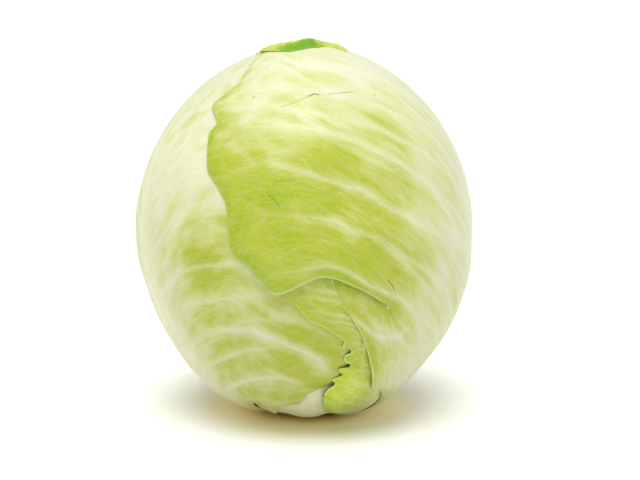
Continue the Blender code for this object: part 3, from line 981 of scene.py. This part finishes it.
def leaf_finish(name, colours, tone=1.0, crack_shade_marks=(), vivid=False):
    """Waxy leaf: green between pale veins, a fine net of veinlets, a white base and a light rim."""
    made = bpy.data.materials.new(name)
    made.use_nodes = True
    tree = made.node_tree
    shader = tree.nodes["Principled BSDF"]
    at = add_node(tree, "ShaderNodeTexCoord")
    uv = add_node(tree, "ShaderNodeUVMap", uv_map="leaf").outputs["UV"]

    def attribute(called):
        return add_node(tree, "ShaderNodeAttribute", attribute_name=called).outputs["Fac"]

    def noise(vector, scale, stretch, detail=2.0):
        placed = add_node(tree, "ShaderNodeMapping", {"Vector": vector, "Scale": stretch})
        return add_node(
            tree,
            "ShaderNodeTexNoise",
            {"Vector": placed.outputs[0], "Scale": scale, "Detail": detail},
        ).outputs["Fac"]

    blotches = noise(uv, 1.0, (8.0, 14.0, 1.0), 3.0)
    streaks = noise(uv, 1.0, (5.0, 60.0, 1.0), 3.0)
    lines = work_out(tree, "ABSOLUTE", work_out(tree, "SUBTRACT",
                     noise(uv, 1.0, (4.5, 34.0, 1.0), 3.0), 0.5), 0.0)
    threads = remap(tree, lines, 0.004, 0.035, 1.0, 0.0)
    patches = noise(at.outputs["Object"], 26.0, (1.0, 1.0, 1.0), 2.0)
    grain = noise(at.outputs["Object"], 900.0, (1.0, 1.0, 1.0), 4.0)

    placed = add_node(tree, "ShaderNodeMapping", {"Vector": uv, "Scale": (26.0, 44.0, 1.0)})
    bent = add_node(
        tree,
        "ShaderNodeMix",
        data_type="VECTOR",
    )
    wobble = add_node(
        tree, "ShaderNodeTexNoise", {"Vector": placed.outputs[0], "Scale": 1.3, "Detail": 1.0}
    )
    bent.inputs[0].default_value = 0.25
    tree.links.new(placed.outputs[0], bent.inputs[4])
    tree.links.new(wobble.outputs["Color"], bent.inputs[5])
    net = add_node(
        tree,
        "ShaderNodeTexVoronoi",
        {"Vector": bent.outputs[1], "Scale": 1.0},
        feature="DISTANCE_TO_EDGE",
    )
    veinlets = remap(tree, net.outputs["Distance"], 0.0, 0.14, 1.0, 0.0)
    patch_places = add_node(
        tree, "ShaderNodeVectorMath", {0: bent.outputs[1], 1: (0.15, 0.34, 1.0)},
        operation="MULTIPLY",
    )
    patch_net = add_node(
        tree,
        "ShaderNodeTexVoronoi",
        {"Vector": patch_places.outputs[0], "Scale": 1.0},
        feature="DISTANCE_TO_EDGE",
    )
    panes = remap(tree, patch_net.outputs["Distance"], 0.0, 0.30)

    green = work_out(tree, "ADD", attribute("green"), remap(tree, blotches, 0.3, 0.7, -0.12, 0.12))
    green = work_out(tree, "ADD", green, remap(tree, panes, 0.0, 1.0, -0.09, 0.06))
    green = work_out(tree, "ADD", green, remap(tree, streaks, 0.3, 0.7, -0.035, 0.035))
    green = work_out(tree, "ADD", green, remap(tree, patches, 0.3, 0.7, -0.12, 0.12), clamp=True)

    ramp = add_node(tree, "ShaderNodeValToRGB", {"Fac": green})
    green_tone, deep_tone = colours.green, colours.deep
    # On the crown leaf the deepest green is the fold colour, painted shade under its rolled margin.
    if vivid:
        green_tone, deep_tone = colours.vivid, colours.fold
    # tone scales every colour of the leaf: partly painted light, raised on the lower front leaf,
    # which lies low on the head in shade, and lowered a little on the left wrapper.
    ramp.color_ramp.elements[0].color = rgba(tone * colours.cream)
    ramp.color_ramp.elements[1].position = 1.0
    ramp.color_ramp.elements[1].color = rgba(tone * deep_tone)
    for position, colour in ((0.34, colours.pale), (0.68, green_tone)):
        ramp.color_ramp.elements.new(position).color = rgba(tone * colour)

    vein = work_out(tree, "MULTIPLY", attribute("vein"), 0.9)
    vein = work_out(tree, "MAXIMUM", vein, work_out(tree, "MULTIPLY", veinlets, 0.07))
    vein = work_out(tree, "MAXIMUM", vein, work_out(tree, "MULTIPLY", threads, 0.13))
    colour = blend_colours(tree, vein, ramp.outputs["Color"], rgba(tone * colours.vein))
    colour = blend_colours(tree, attribute("white"), colour, rgba(colours.base))
    # The rim colour is partly the thin edge's own paler colour and partly painted highlight on the
    # lit, rolled margin.
    colour = blend_colours(
        tree, work_out(tree, "MULTIPLY", attribute("rim"), 0.8), colour, rgba(colours.rim)
    )
    # Painted shade: the cracks are dark lines in the crack colour, standing in for the shade inside
    # each split.
    if crack_shade_marks:
        mark = all_marks(tree, at.outputs["Object"], crack_shade_marks)
        colour = blend_colours(tree, mark, colour, rgba(colours.split))

    # Painted light: every colour is scaled by the leaf's painted-light attribute.
    colour = add_node(
        tree, "ShaderNodeVectorMath", {0: colour, "Scale": attribute("bright")}, operation="SCALE"
    ).outputs[0]

    # Real dark specks, in the same colour as the painted crack shade.
    specks = add_node(
        tree, "ShaderNodeTexVoronoi", {"Vector": at.outputs["Object"], "Scale": 95.0}
    )
    dot = remap(tree, specks.outputs["Distance"], 0.025, 0.055, 1.0, 0.0)
    chosen = add_node(tree, "ShaderNodeSeparateColor", {"Color": specks.outputs["Color"]})
    rare = work_out(tree, "GREATER_THAN", chosen.outputs[0], 0.93)
    dot = work_out(tree, "MULTIPLY", dot, rare)
    colour = blend_colours(
        tree, work_out(tree, "MULTIPLY", dot, 0.55), colour, rgba(colours.split)
    )
    tree.links.new(colour, shader.inputs["Base Color"])

    rough = work_out(tree, "ADD", remap(tree, patches, 0.3, 0.7, 0.40, 0.52),
                     work_out(tree, "MULTIPLY", veinlets, -0.04))
    tree.links.new(rough, shader.inputs["Roughness"])

    height = work_out(tree, "ADD", work_out(tree, "MULTIPLY", veinlets, 0.22),
                      work_out(tree, "MULTIPLY", streaks, 0.5))
    height = work_out(tree, "ADD", height, work_out(tree, "MULTIPLY", threads, 0.25))
    height = work_out(tree, "ADD", height, work_out(tree, "MULTIPLY", grain, 0.18))
    bump = add_node(tree, "ShaderNodeBump", {"Height": height, "Strength": 0.5, "Distance": 0.0004})
    tree.links.new(bump.outputs[0], shader.inputs["Normal"])

    shader.inputs["Subsurface Weight"].default_value = 0.22
    shader.inputs["Subsurface Radius"].default_value = (0.7, 0.9, 0.25)
    shader.inputs["Subsurface Scale"].default_value = 0.003
    shader.inputs["Specular IOR Level"].default_value = 0.05 if vivid else 0.30
    shader.inputs["Sheen Weight"].default_value = 0.0 if vivid else 0.05
    shader.inputs["Sheen Roughness"].default_value = 0.5
    return made


def cut_finish(name, colours):
    """The cut face of the stalk: a pale pith, a ring of fibres and a drier, browner rim."""
    made = bpy.data.materials.new(name)
    made.use_nodes = True
    tree = made.node_tree
    shader = tree.nodes["Principled BSDF"]
    at = add_node(tree, "ShaderNodeTexCoord").outputs["Object"]
    flat = add_node(tree, "ShaderNodeMapping", {"Vector": at, "Scale": (1.0, 1.0, 0.0)})
    out = add_node(tree, "ShaderNodeVectorMath", {0: flat.outputs[0]}, operation="LENGTH")
    noise = add_node(tree, "ShaderNodeTexNoise", {"Vector": at, "Scale": 420.0, "Detail": 5.0})
    wander = remap(tree, noise.outputs["Fac"], 0.3, 0.7, -0.0012, 0.0012)
    radius = work_out(tree, "ADD", out.outputs["Value"], wander)
    ring = add_node(tree, "ShaderNodeValToRGB", {"Fac": work_out(tree, "MULTIPLY", radius, 55.0)})
    ring.color_ramp.elements[0].color = rgba(colours.base)
    ring.color_ramp.elements[1].color = rgba(colours.dry)
    ring.color_ramp.elements[1].position = 0.88
    for position, colour in ((0.42, colours.base), (0.52, colours.pale), (0.62, colours.base)):
        ring.color_ramp.elements.new(position).color = rgba(colour)
    tree.links.new(ring.outputs["Color"], shader.inputs["Base Color"])
    bump = add_node(
        tree, "ShaderNodeBump", {"Height": noise.outputs["Fac"], "Strength": 0.6, "Distance": 0.0005}
    )
    tree.links.new(bump.outputs[0], shader.inputs["Normal"])
    shader.inputs["Roughness"].default_value = 0.6
    shader.inputs["Subsurface Weight"].default_value = 0.15
    shader.inputs["Subsurface Scale"].default_value = 0.003
    return made


def add_piece(mesh, finish, node):
    """Shows a finished mesh in place of a solid of the model."""
    mesh.materials.append(finish)
    mesh.shade_smooth()
    made = bpy.data.objects.new(mesh.name, mesh)
    bpy.context.scene.collection.objects.link(made)
    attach(made, "root")
    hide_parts(node)
    return made


class CabbageSizes(bpy.types.PropertyGroup):
    """Sizes of the leaves."""

    blade: bpy.props.FloatProperty(
        name="Blade", description="Thickness of a leaf between its veins",
        default=0.0009, min=0.0003, max=0.003, unit="LENGTH", precision=5,
    )
    gap: bpy.props.FloatProperty(
        name="Gap", description="Room between one leaf and the next",
        default=0.0006, min=0.0, max=0.003, unit="LENGTH", precision=5,
    )
    wrap_depth: bpy.props.FloatProperty(
        name="Wrap depth", description="How deep under the head's surface the heart lies",
        default=0.0028, min=0.0, max=0.01, unit="LENGTH", precision=5,
    )
    rib_height: bpy.props.FloatProperty(
        name="Rib height", description="How far a rib stands out at the stalk",
        default=0.0024, min=0.0, max=0.006, unit="LENGTH", precision=5,
    )
    rib_tip_height: bpy.props.FloatProperty(
        name="Rib height at the tip", description="How far a rib stands out at the leaf's tip",
        default=0.0003, min=0.0, max=0.003, unit="LENGTH", precision=5,
    )
    rib_width: bpy.props.FloatProperty(
        name="Rib width", description="Half width of a rib at the stalk",
        default=0.0090, min=0.001, max=0.02, unit="LENGTH", precision=5,
    )
    rib_tip_width: bpy.props.FloatProperty(
        name="Rib width at the tip", description="Half width of a rib at the leaf's tip",
        default=0.0022, min=0.0005, max=0.01, unit="LENGTH", precision=5,
    )
    vein_height: bpy.props.FloatProperty(
        name="Vein height", description="How far a side vein stands out",
        default=0.0007, min=0.0, max=0.003, unit="LENGTH", precision=5,
    )
    vein_width: bpy.props.FloatProperty(
        name="Vein width", description="Half width of a side vein where it leaves the rib",
        default=0.0012, min=0.0003, max=0.006, unit="LENGTH", precision=5,
    )
    quilting: bpy.props.FloatProperty(
        name="Quilting", description="How far the blade bulges between its veins",
        default=0.0006, min=0.0, max=0.002, unit="LENGTH", precision=5,
    )
    waviness: bpy.props.FloatProperty(
        name="Waviness", description="Height of the slow waves over the whole head",
        default=0.0006, min=0.0, max=0.003, unit="LENGTH", precision=5,
    )


def colour_property(name, description, default):
    return bpy.props.FloatVectorProperty(
        name=name, description=description, default=default, size=3, min=0.0, max=1.0,
        subtype="COLOR",
    )


class CabbageColours(bpy.types.PropertyGroup):
    """Colours of the leaves and the stalk."""

    cream: colour_property("Cream", "The palest parts of a blade", (0.54, 0.55, 0.38))
    pale: colour_property("Pale green", "A blade in light green", (0.46, 0.49, 0.19))
    green: colour_property("Green", "A blade in full green", (0.345, 0.385, 0.028))
    deep: colour_property("Deep green", "The greenest margins", (0.275, 0.36, 0.002))
    vivid: colour_property("Vivid green", "The leaf over the crown", (0.33, 0.42, 0.008))
    # Painted shade: the fold colour is the crown leaf's green darkened for the shade under its rolled
    # margin.
    fold: colour_property("Fold", "The shaded fold of the crown leaf", (0.115, 0.29, 0.0))
    vein: colour_property("Vein", "The veins and ribs", (0.55, 0.565, 0.40))
    base: colour_property("White base", "The thick base of a leaf", (0.64, 0.62, 0.42))
    # Partly painted highlight for the lit, rolled margin.
    rim: colour_property("Rim", "The thin edge of a leaf", (0.58, 0.64, 0.26))
    # Painted shade for the cracks; the same colour is also the leaf's own dark specks.
    split: colour_property("Split", "Splits and specks", (0.15, 0.19, 0.02))
    dry: colour_property("Dry rim", "The dried rim of the cut stalk", (0.36, 0.27, 0.14))


class CabbageStage(bpy.types.PropertyGroup):
    """The floor, the light and the camera."""

    floor: colour_property("Floor", "The plain pale floor", (0.87, 0.865, 0.83))
    # Painted contact shadow: a warm, darker floor colour close under the head, standing in for its
    # shade and the light bounced off it.
    painted_contact_shadow: colour_property("Glow", "The floor close under the head", (0.85, 0.60, 0.10))
    sky: bpy.props.FloatProperty(
        name="Sky", description="Strength of the even light from all round",
        default=0.7, min=0.0, max=5.0,
    )
    key: bpy.props.FloatProperty(
        name="Key", description="Strength of the large soft light", default=2.7, min=0.0,
    )
    lens: bpy.props.FloatProperty(
        name="Lens", description="Focal length in millimetres", default=90.0, min=10.0,
    )
    elevation: bpy.props.FloatProperty(
        name="Elevation", description="How far the camera looks down",
        default=math.radians(10.5), subtype="ANGLE",
    )


class AddHeart(bpy.types.Operator):
    """Add the tight ball of inner leaves under the wrappers"""

    bl_idname = "cabbage.add_heart"
    bl_label = "Heart"

    def execute(self, context):
        sizes, colours = context.scene.cabbage_sizes, context.scene.cabbage_colours
        bm = bmesh.new()
        bmesh.ops.create_uvsphere(bm, u_segments=144, v_segments=96, radius=1)
        mesh = bpy.data.meshes.new("heart_ball")
        places = unit(np.array([vert.co for vert in bm.verts]))
        points = CENTRE + places * heart_radius(places, sizes)[:, None]
        for vert, point in zip(bm.verts, points):
            vert.co = point
        bm.to_mesh(mesh)
        bm.free()
        turn = np.arctan2(places[:, 0], -places[:, 1])
        rise = np.arcsin(np.clip(places[:, 2], -1, 1))
        fold = np.abs(ripple(turn * 3.1, rise * 0.8, 5))
        store(mesh, "vein", np.exp(-((fold / 0.06) ** 2)))
        store(mesh, "green", 0.25 + 0.1 * ripple(turn * 2, rise * 2, 6))
        store(mesh, "white", smooth_step((-0.9 - rise) / 0.3))
        store(mesh, "rim", np.zeros(len(places)))
        store(mesh, "bright", np.ones(len(places)))
        lay_out(mesh, np.stack([turn * 0.6, rise * 0.6], axis=1))
        add_piece(mesh, leaf_finish("heart leaf", colours), "heart")
        return {"FINISHED"}


class AddStalk(bpy.types.Operator):
    """Add the short butt of the stalk, cut flat"""

    bl_idname = "cabbage.add_stalk"
    bl_label = "Stalk"

    def execute(self, context):
        colours = context.scene.cabbage_colours
        low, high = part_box("stalk_butt")
        radius, height = (high.x - low.x) / 2, high.z - low.z
        bm = bmesh.new()
        made = bmesh.ops.create_cone(
            bm, cap_ends=True, segments=96, radius1=radius, radius2=radius, depth=height
        )
        bmesh.ops.translate(bm, verts=made["verts"], vec=(0, 0, height / 2))
        foot = [face for face in bm.faces if face.calc_center_median().z < 1e-5]
        edge = [e for e in bm.edges if all(v.co.z < 1e-5 for v in e.verts)]
        bmesh.ops.bevel(
            bm, geom=edge, offset=0.0010, segments=4, profile=0.5, affect="EDGES", material=-1
        )
        foot = [f for f in bm.faces if f.calc_center_median().z < 1e-5 and len(f.verts) > 20]
        for inset in (0.0016, 0.0016, 0.0020, 0.0026):
            bmesh.ops.inset_region(bm, faces=foot, thickness=inset)
        bmesh.ops.recalc_face_normals(bm, faces=bm.faces[:])
        mesh = bpy.data.meshes.new("stalk_cut")
        bm.to_mesh(mesh)
        bm.free()
        add_piece(mesh, cut_finish("cut stalk", colours), "stalk_butt")
        return {"FINISHED"}


class LeafOperator:
    """Adds one wrapper leaf over those inside it."""

    leaf_name = ""
    leaf_slot = "green_leaf"

    def execute(self, context):
        sizes, colours = context.scene.cabbage_sizes, context.scene.cabbage_colours
        names = [leaf.name for leaf in LEAVES]
        place = names.index(self.leaf_name)
        mesh = dress_leaf(LEAVES[place], LEAVES[:place], sizes)
        leaf = LEAVES[place]
        finish = leaf_finish(
            leaf.name.replace("_", " "), colours, leaf.tone, leaf.crack_shade_marks,
            vivid=leaf.name == "crown_leaf",
        )
        add_piece(mesh, finish, self.leaf_name)
        return {"FINISHED"}


class AddFrontInnerLeaf(LeafOperator, bpy.types.Operator):
    """Add the inner leaf whose white base shows at the front"""

    bl_idname = "cabbage.add_front_inner_leaf"
    bl_label = "Front Inner Leaf"
    leaf_name, leaf_slot = "front_inner_leaf", "pale_leaf"


class AddLeftWrapperLeaf(LeafOperator, bpy.types.Operator):
    """Add the pale wrapper leaf on the left"""

    bl_idname = "cabbage.add_left_wrapper_leaf"
    bl_label = "Left Wrapper Leaf"
    leaf_name, leaf_slot = "left_wrapper_leaf", "pale_leaf"


class AddLowerFrontLeaf(LeafOperator, bpy.types.Operator):
    """Add the crinkled leaf low on the front"""

    bl_idname = "cabbage.add_lower_front_leaf"
    bl_label = "Lower Front Leaf"
    leaf_name = "lower_front_leaf"


class AddRightWrapperLeaf(LeafOperator, bpy.types.Operator):
    """Add the torn wrapper leaf over the front and the right"""

    bl_idname = "cabbage.add_right_wrapper_leaf"
    bl_label = "Right Wrapper Leaf"
    leaf_name = "right_wrapper_leaf"


class AddCrownLeaf(LeafOperator, bpy.types.Operator):
    """Add the leaf that comes over the crown from behind"""

    bl_idname = "cabbage.add_crown_leaf"
    bl_label = "Crown Leaf"
    leaf_name = "crown_leaf"


class AddBackLeftLeaf(LeafOperator, bpy.types.Operator):
    """Add the wrapper leaf at the back left"""

    bl_idname = "cabbage.add_back_left_leaf"
    bl_label = "Back Left Leaf"
    leaf_name = "back_left_leaf"


class AddBackRightLeaf(LeafOperator, bpy.types.Operator):
    """Add the wrapper leaf at the back right"""

    bl_idname = "cabbage.add_back_right_leaf"
    bl_label = "Back Right Leaf"
    leaf_name = "back_right_leaf"


class AddStage(bpy.types.Operator):
    """Add the floor, the soft light and the camera"""

    bl_idname = "cabbage.add_stage"
    bl_label = "Stage"

    def execute(self, context):
        stage = context.scene.cabbage_stage
        self.add_floor(context, stage)
        self.add_light(context, stage)
        self.add_camera(context, stage)
        context.scene.view_settings.view_transform = "Standard"
        return {"FINISHED"}

    def add_floor(self, context, stage):
        bm = bmesh.new()
        bmesh.ops.create_circle(bm, cap_ends=True, segments=96, radius=30.0)
        mesh = bpy.data.meshes.new("floor")
        bm.to_mesh(mesh)
        bm.free()
        finish = bpy.data.materials.new("pale floor")
        finish.use_nodes = True
        shader = finish.node_tree.nodes["Principled BSDF"]
        tree = finish.node_tree
        # The floor's colour darkens and warms towards the head: a painted contact shadow with painted
        # bounced light in it. From about 0.12 m out it is the plain floor.
        at = add_node(tree, "ShaderNodeTexCoord").outputs["Object"]
        out = add_node(tree, "ShaderNodeVectorMath", {0: at}, operation="LENGTH")
        fade = add_node(
            tree, "ShaderNodeValToRGB", {"Fac": work_out(tree, "MULTIPLY", out.outputs["Value"], 8.0)}
        )
        ramp = fade.color_ramp
        ramp.elements[0].position, ramp.elements[0].color = 0.18, rgba(stage.painted_contact_shadow)
        ramp.elements[1].position, ramp.elements[1].color = 0.95, rgba(stage.floor)
        # Two more stops of painted shade: a warm band, then a faintly grey one, fading out into the
        # plain floor.
        ramp.elements.new(0.33).color = (0.88, 0.82, 0.56, 1.0)
        ramp.elements.new(0.47).color = (0.84, 0.84, 0.785, 1.0)
        tree.links.new(fade.outputs["Color"], shader.inputs["Base Color"])
        # A ring of floor round the head glows: painted bounced light, not a lamp.
        ring = work_out(
            tree, "MULTIPLY",
            remap(tree, out.outputs["Value"], 0.018, 0.036),
            remap(tree, out.outputs["Value"], 0.034, 0.060, 1.0, 0.0),
        )
        tree.links.new(work_out(tree, "MULTIPLY", ring, 0.13), shader.inputs["Emission Strength"])
        shader.inputs["Emission Color"].default_value = (1.0, 0.90, 0.46, 1.0)
        shader.inputs["Roughness"].default_value = 0.7
        shader.inputs["Specular IOR Level"].default_value = 0.15
        mesh.materials.append(finish)
        floor = bpy.data.objects.new("floor", mesh)
        context.scene.collection.objects.link(floor)

    def add_light(self, context, stage):
        world = bpy.data.worlds.new("studio")
        world.use_nodes = True
        sky = world.node_tree.nodes["Background"]
        sky.inputs["Color"].default_value = (1.0, 1.0, 1.0, 1.0)
        sky.inputs["Strength"].default_value = stage.sky
        context.scene.world = world
        for name, azimuth, elevation, spread, strength in (
            ("key", -14, 72, 50, stage.key),
            ("top", 40, 84, 70, 0.3 * stage.key),
        ):
            light = bpy.data.lights.new(name, "SUN")
            light.angle = math.radians(spread)
            light.energy = strength
            lamp = bpy.data.objects.new(name, light)
            lamp.rotation_euler = (math.radians(90 - elevation), 0, math.radians(azimuth))
            context.scene.collection.objects.link(lamp)

    def add_camera(self, context, stage):
        camera = bpy.data.cameras.new("camera")
        camera.lens = stage.lens
        camera.sensor_width = 36.0
        camera.clip_end = 100.0
        made = bpy.data.objects.new("camera", camera)
        made.location = (0.0069, -0.7543, 0.2217)
        made.rotation_euler = (math.pi / 2 - stage.elevation, 0, 0)
        context.scene.collection.objects.link(made)
        context.scene.camera = made


PIECES = (
    AddHeart,
    AddStalk,
    AddFrontInnerLeaf,
    AddLeftWrapperLeaf,
    AddLowerFrontLeaf,
    AddRightWrapperLeaf,
    AddCrownLeaf,
    AddBackLeftLeaf,
    AddBackRightLeaf,
    AddStage,
)


class CabbagePanel(bpy.types.Panel):
    """Sizes, colours and pieces of the cabbage head"""

    bl_label = "Cabbage Head"
    bl_idname = "VIEW3D_PT_cabbage_head"
    bl_space_type = "VIEW_3D"
    bl_region_type = "UI"
    bl_category = "Cabbage"

    def draw(self, context):
        layout = self.layout
        for piece in PIECES:
            layout.operator(piece.bl_idname, text=piece.bl_label)
        for group in ("cabbage_sizes", "cabbage_colours", "cabbage_stage"):
            settings = getattr(context.scene, group)
            box = layout.box()
            for key in settings.bl_rna.properties.keys():
                if key not in ("rna_type", "name"):
                    box.prop(settings, key)


GROUPS = {
    "cabbage_sizes": CabbageSizes,
    "cabbage_colours": CabbageColours,
    "cabbage_stage": CabbageStage,
}


def register():
    for item in (*GROUPS.values(), *PIECES, CabbagePanel):
        bpy.utils.register_class(item)
    for name, group in GROUPS.items():
        setattr(bpy.types.Scene, name, bpy.props.PointerProperty(type=group))


def unregister():
    for name in GROUPS:
        delattr(bpy.types.Scene, name)
    for item in reversed((*GROUPS.values(), *PIECES, CabbagePanel)):
        bpy.utils.unregister_class(item)


def main():
    register()
    for piece in PIECES:
        getattr(bpy.ops.cabbage, piece.bl_idname.split(".")[1])()
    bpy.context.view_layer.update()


if __name__ == "__main__":
    main()
